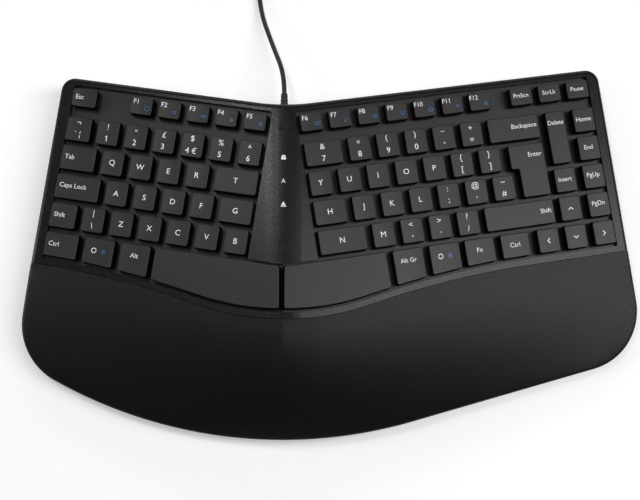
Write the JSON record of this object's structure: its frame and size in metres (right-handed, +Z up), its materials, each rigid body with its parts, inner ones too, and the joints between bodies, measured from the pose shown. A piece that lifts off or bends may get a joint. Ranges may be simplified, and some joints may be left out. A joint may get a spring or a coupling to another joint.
{
  "type": "ergonomic split keyboard",
  "caption": "Tented split keyboard with two angled key blocks, a curved palm rest, indicator lights, folding tilt feet and a USB cable.",
  "frame": {"origin": "middle of the casing's plan outline, on the desk under the rubber feet", "axes": "+X towards the right end of the keyboard, +Y to the rear edge where the cable leaves, +Z up"},
  "size_m": [0.4074, 0.4351, 0.0504],
  "materials": {
    "case_plastic": "fine matte texture",
    "cover_plastic": "satin charcoal with a fine grain",
    "palm_soft_touch": "soft-touch coat, fine grain",
    "key_frame_plastic": "matte",
    "key_plastic": "satin tops, light legends",
    "dome_rubber": "silicone, milky",
    "membrane_film": "clear film",
    "plate_steel": "zinc-plated sheet",
    "board_resin": "solder mask",
    "chip_resin": "matte epoxy",
    "led_resin": "clear epoxy",
    "lens_plastic": "translucent",
    "screw_steel": "zinc-plated",
    "foot_rubber": "matte rubber",
    "tilt_foot_plastic": "matte",
    "cord_rubber": "smooth flexible jacket",
    "tie_plastic": "smooth",
    "plug_plastic": "moulded, fine matte",
    "plug_steel": "nickel-plated"
  },
  "bodies": {
    "casing": {"bottom_case": "case_plastic", "top_cover": "cover_plastic", "palm_rest": "palm_soft_touch", "left_key_frame": "key_frame_plastic", "right_key_frame": "key_frame_plastic", "left_domes": "dome_rubber", "right_domes": "dome_rubber", "left_membrane": "membrane_film", "right_membrane": "membrane_film", "left_backing_plate": "plate_steel", "right_backing_plate": "plate_steel", "controller_board": "board_resin", "controller_chips": "chip_resin", "indicator_leds": "led_resin", "indicator_lenses": "lens_plastic", "case_screws": "screw_steel", "rubber_feet": "foot_rubber", "cable_strain_relief": "cord_rubber", "inner_lead": "cord_rubber", "usb_cable": "cord_rubber", "usb_cable_coil": "cord_rubber", "cable_tie": "tie_plastic", "usb_plug_body": "plug_plastic", "usb_plug_shell": "plug_steel"},
    "escape_key_cap": {"escape_key": "key_plastic"},
    "left_function_key_row": {"left_function_keys": "key_plastic"},
    "left_number_key_row": {"left_number_keys": "key_plastic"},
    "tab_key_cap": {"tab_key": "key_plastic"},
    "left_upper_letter_key_row": {"left_upper_letter_keys": "key_plastic"},
    "caps_lock_key_cap": {"caps_lock_key": "key_plastic"},
    "left_home_letter_key_row": {"left_home_letter_keys": "key_plastic"},
    "left_shift_key_cap": {"left_shift_key": "key_plastic"},
    "left_lower_letter_key_row": {"left_lower_letter_keys": "key_plastic"},
    "left_ctrl_key_cap": {"left_ctrl_key": "key_plastic"},
    "left_system_key_cap": {"left_system_key": "key_plastic"},
    "left_alt_key_cap": {"left_alt_key": "key_plastic"},
    "left_space_bar_cap": {"left_space_bar": "key_plastic"},
    "right_function_key_row": {"right_function_keys": "key_plastic"},
    "screen_key_row": {"screen_keys": "key_plastic"},
    "right_number_key_row": {"right_number_keys": "key_plastic"},
    "backspace_key_cap": {"backspace_key": "key_plastic"},
    "right_upper_letter_key_row": {"right_upper_letter_keys": "key_plastic"},
    "right_home_letter_key_row": {"right_home_letter_keys": "key_plastic"},
    "right_lower_letter_key_row": {"right_lower_letter_keys": "key_plastic"},
    "right_shift_key_cap": {"right_shift_key": "key_plastic"},
    "alt_gr_key_cap": {"alt_gr_key": "key_plastic"},
    "right_system_key_cap": {"right_system_key": "key_plastic"},
    "fn_key_cap": {"fn_key": "key_plastic"},
    "right_ctrl_key_cap": {"right_ctrl_key": "key_plastic"},
    "left_arrow_key_cap": {"left_arrow_key": "key_plastic"},
    "down_arrow_key_cap": {"down_arrow_key": "key_plastic"},
    "right_arrow_key_cap": {"right_arrow_key": "key_plastic"},
    "up_arrow_key_cap": {"up_arrow_key": "key_plastic"},
    "navigation_key_row": {"navigation_keys": "key_plastic"},
    "right_space_bar_cap": {"right_space_bar": "key_plastic"},
    "delete_key_cap": {"delete_key": "key_plastic"},
    "enter_key_cap": {"enter_key": "key_plastic"},
    "left_tilt_foot_leg": {"left_tilt_foot": "tilt_foot_plastic"},
    "right_tilt_foot_leg": {"right_tilt_foot": "tilt_foot_plastic"}
  },
  "joints": [
    {"name": "escape_key_press", "type": "slide", "parent": "casing", "child": "escape_key_cap", "axis": [0.1301, 0.0228, -0.9912], "range_m": [0, 0.0035], "stiffness_N_per_m": 170},
    {"name": "left_function_keys_press", "type": "slide", "parent": "casing", "child": "left_function_key_row", "axis": [0.1301, 0.0228, -0.9912], "range_m": [0, 0.0035], "stiffness_N_per_m": 850},
    {"name": "left_number_keys_press", "type": "slide", "parent": "casing", "child": "left_number_key_row", "axis": [0.1301, 0.0228, -0.9912], "range_m": [0, 0.0035], "stiffness_N_per_m": 1190},
    {"name": "tab_key_press", "type": "slide", "parent": "casing", "child": "tab_key_cap", "axis": [0.1301, 0.0228, -0.9912], "range_m": [0, 0.0035], "stiffness_N_per_m": 170},
    {"name": "left_upper_letter_keys_press", "type": "slide", "parent": "casing", "child": "left_upper_letter_key_row", "axis": [0.1301, 0.0228, -0.9912], "range_m": [0, 0.0035], "stiffness_N_per_m": 850},
    {"name": "caps_lock_key_press", "type": "slide", "parent": "casing", "child": "caps_lock_key_cap", "axis": [0.1301, 0.0228, -0.9912], "range_m": [0, 0.0035], "stiffness_N_per_m": 170},
    {"name": "left_home_letter_keys_press", "type": "slide", "parent": "casing", "child": "left_home_letter_key_row", "axis": [0.1301, 0.0228, -0.9912], "range_m": [0, 0.0035], "stiffness_N_per_m": 850, "deforming": ["left_domes"]},
    {"name": "left_shift_key_press", "type": "slide", "parent": "casing", "child": "left_shift_key_cap", "axis": [0.1301, 0.0228, -0.9912], "range_m": [0, 0.0035], "stiffness_N_per_m": 170},
    {"name": "left_lower_letter_keys_press", "type": "slide", "parent": "casing", "child": "left_lower_letter_key_row", "axis": [0.1301, 0.0228, -0.9912], "range_m": [0, 0.0035], "stiffness_N_per_m": 1020},
    {"name": "left_ctrl_key_press", "type": "slide", "parent": "casing", "child": "left_ctrl_key_cap", "axis": [0.1301, 0.0228, -0.9912], "range_m": [0, 0.0035], "stiffness_N_per_m": 170},
    {"name": "left_system_key_press", "type": "slide", "parent": "casing", "child": "left_system_key_cap", "axis": [0.1301, 0.0228, -0.9912], "range_m": [0, 0.0035], "stiffness_N_per_m": 170},
    {"name": "left_alt_key_press", "type": "slide", "parent": "casing", "child": "left_alt_key_cap", "axis": [0.1301, 0.0228, -0.9912], "range_m": [0, 0.0035], "stiffness_N_per_m": 170},
    {"name": "left_space_bar_press", "type": "slide", "parent": "casing", "child": "left_space_bar_cap", "axis": [0.1301, 0.0228, -0.9912], "range_m": [0, 0.0035], "stiffness_N_per_m": 170},
    {"name": "right_function_keys_press", "type": "slide", "parent": "casing", "child": "right_function_key_row", "axis": [-0.1301, 0.0228, -0.9912], "range_m": [0, 0.0035], "stiffness_N_per_m": 1190},
    {"name": "screen_keys_press", "type": "slide", "parent": "casing", "child": "screen_key_row", "axis": [-0.1301, 0.0228, -0.9912], "range_m": [0, 0.0035], "stiffness_N_per_m": 510},
    {"name": "right_number_keys_press", "type": "slide", "parent": "casing", "child": "right_number_key_row", "axis": [-0.1301, 0.0228, -0.9912], "range_m": [0, 0.0035], "stiffness_N_per_m": 1020},
    {"name": "backspace_key_press", "type": "slide", "parent": "casing", "child": "backspace_key_cap", "axis": [-0.1301, 0.0228, -0.9912], "range_m": [0, 0.0035], "stiffness_N_per_m": 170},
    {"name": "right_upper_letter_keys_press", "type": "slide", "parent": "casing", "child": "right_upper_letter_key_row", "axis": [-0.1301, 0.0228, -0.9912], "range_m": [0, 0.0035], "stiffness_N_per_m": 1190},
    {"name": "right_home_letter_keys_press", "type": "slide", "parent": "casing", "child": "right_home_letter_key_row", "axis": [-0.1301, 0.0228, -0.9912], "range_m": [0, 0.0035], "stiffness_N_per_m": 1190, "deforming": ["right_domes"]},
    {"name": "right_lower_letter_keys_press", "type": "slide", "parent": "casing", "child": "right_lower_letter_key_row", "axis": [-0.1301, 0.0228, -0.9912], "range_m": [0, 0.0035], "stiffness_N_per_m": 850},
    {"name": "right_shift_key_press", "type": "slide", "parent": "casing", "child": "right_shift_key_cap", "axis": [-0.1301, 0.0228, -0.9912], "range_m": [0, 0.0035], "stiffness_N_per_m": 170},
    {"name": "alt_gr_key_press", "type": "slide", "parent": "casing", "child": "alt_gr_key_cap", "axis": [-0.1301, 0.0228, -0.9912], "range_m": [0, 0.0035], "stiffness_N_per_m": 170},
    {"name": "right_system_key_press", "type": "slide", "parent": "casing", "child": "right_system_key_cap", "axis": [-0.1301, 0.0228, -0.9912], "range_m": [0, 0.0035], "stiffness_N_per_m": 170},
    {"name": "fn_key_press", "type": "slide", "parent": "casing", "child": "fn_key_cap", "axis": [-0.1301, 0.0228, -0.9912], "range_m": [0, 0.0035], "stiffness_N_per_m": 170},
    {"name": "right_ctrl_key_press", "type": "slide", "parent": "casing", "child": "right_ctrl_key_cap", "axis": [-0.1301, 0.0228, -0.9912], "range_m": [0, 0.0035], "stiffness_N_per_m": 170},
    {"name": "left_arrow_key_press", "type": "slide", "parent": "casing", "child": "left_arrow_key_cap", "axis": [-0.1301, 0.0228, -0.9912], "range_m": [0, 0.0035], "stiffness_N_per_m": 170},
    {"name": "down_arrow_key_press", "type": "slide", "parent": "casing", "child": "down_arrow_key_cap", "axis": [-0.1301, 0.0228, -0.9912], "range_m": [0, 0.0035], "stiffness_N_per_m": 170},
    {"name": "right_arrow_key_press", "type": "slide", "parent": "casing", "child": "right_arrow_key_cap", "axis": [-0.1301, 0.0228, -0.9912], "range_m": [0, 0.0035], "stiffness_N_per_m": 170},
    {"name": "up_arrow_key_press", "type": "slide", "parent": "casing", "child": "up_arrow_key_cap", "axis": [-0.1301, 0.0228, -0.9912], "range_m": [0, 0.0035], "stiffness_N_per_m": 170},
    {"name": "navigation_keys_press", "type": "slide", "parent": "casing", "child": "navigation_key_row", "axis": [-0.1301, 0.0228, -0.9912], "range_m": [0, 0.0035], "stiffness_N_per_m": 850},
    {"name": "right_space_bar_press", "type": "slide", "parent": "casing", "child": "right_space_bar_cap", "axis": [-0.1301, 0.0228, -0.9912], "range_m": [0, 0.0035], "stiffness_N_per_m": 170},
    {"name": "delete_key_press", "type": "slide", "parent": "casing", "child": "delete_key_cap", "axis": [-0.1301, 0.0228, -0.9912], "range_m": [0, 0.0035], "stiffness_N_per_m": 170},
    {"name": "enter_key_press", "type": "slide", "parent": "casing", "child": "enter_key_cap", "axis": [-0.1301, 0.0228, -0.9912], "range_m": [0, 0.0035], "stiffness_N_per_m": 170},
    {"name": "left_tilt_foot_hinge", "type": "hinge", "parent": "casing", "child": "left_tilt_foot_leg", "pos_m": [-0.14882, 0.09782, 0.0046], "axis": [1, 0, 0], "range_deg": [0, 90]},
    {"name": "right_tilt_foot_hinge", "type": "hinge", "parent": "casing", "child": "right_tilt_foot_leg", "pos_m": [0.11718, 0.10341, 0.0046], "axis": [1, 0, 0], "range_deg": [0, 90]}
  ]
}
